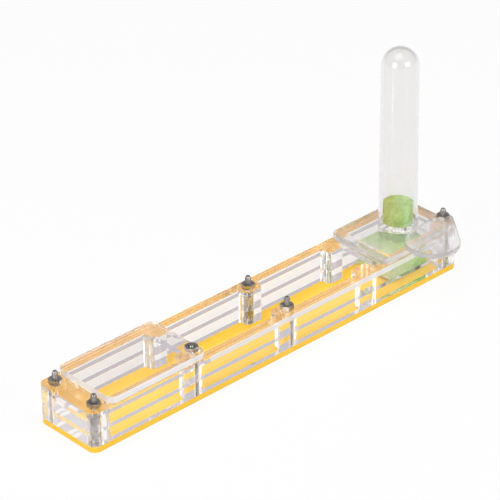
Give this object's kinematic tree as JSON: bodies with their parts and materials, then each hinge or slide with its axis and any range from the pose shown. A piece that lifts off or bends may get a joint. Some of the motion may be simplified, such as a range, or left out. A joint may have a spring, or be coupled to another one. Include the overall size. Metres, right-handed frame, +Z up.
{
  "type": "ant habitat",
  "caption": "Long low ant nest of clear layered sheets on a yellow floor, with a swivelling lid, open chamber and a water tube standing in its cover.",
  "frame": {"origin": "middle of the flat underside of the body", "axes": "+X along the body towards the test tube, +Y to the back, +Z up"},
  "size_m": [0.1573, 0.0381, 0.0794],
  "materials": {
    "yellow_acrylic": "gloss",
    "clear_acrylic": "clear gloss",
    "clear_tube": "clear gloss",
    "green_sponge": "matte sponge",
    "steel": "satin"
  },
  "bodies": {
    "housing": {"base_plate": "yellow_acrylic", "lower_frame": "clear_acrylic", "upper_frame": "clear_acrylic", "rim_frame": "clear_acrylic", "tube_cover": "clear_acrylic", "chamber_sponge": "green_sponge", "screw_end_back": "steel", "screw_end_front": "steel", "screw_lid": "steel", "screw_middle_back": "steel", "screw_middle_front": "steel", "screw_cap": "steel", "screw_cover": "steel", "nut_end_back": "steel", "nut_end_front": "steel", "nut_lid": "steel", "nut_middle_back": "steel", "nut_middle_front": "steel", "nut_cap": "steel", "nut_cover": "steel"},
    "lid": {"left_lid": "clear_acrylic"},
    "cap": {"swing_cap": "clear_acrylic"},
    "tube": {"test_tube": "clear_tube", "tube_plug": "green_sponge"}
  },
  "joints": [
    {"name": "lid_swivel", "type": "hinge", "parent": "housing", "child": "lid", "pos_m": [-0.0355, -0.0089, 0.0138], "axis": [0, 0, 1], "range_deg": [-120, 8]},
    {"name": "cap_swivel", "type": "hinge", "parent": "housing", "child": "cap", "pos_m": [0.0753, -0.0089, 0.01615], "axis": [0, 0, 1], "range_deg": [-14, 150]},
    {"name": "tube_lift", "type": "slide", "parent": "housing", "child": "tube", "axis": [0, 0, 1], "range_m": [0, 0.06]}
  ]
}
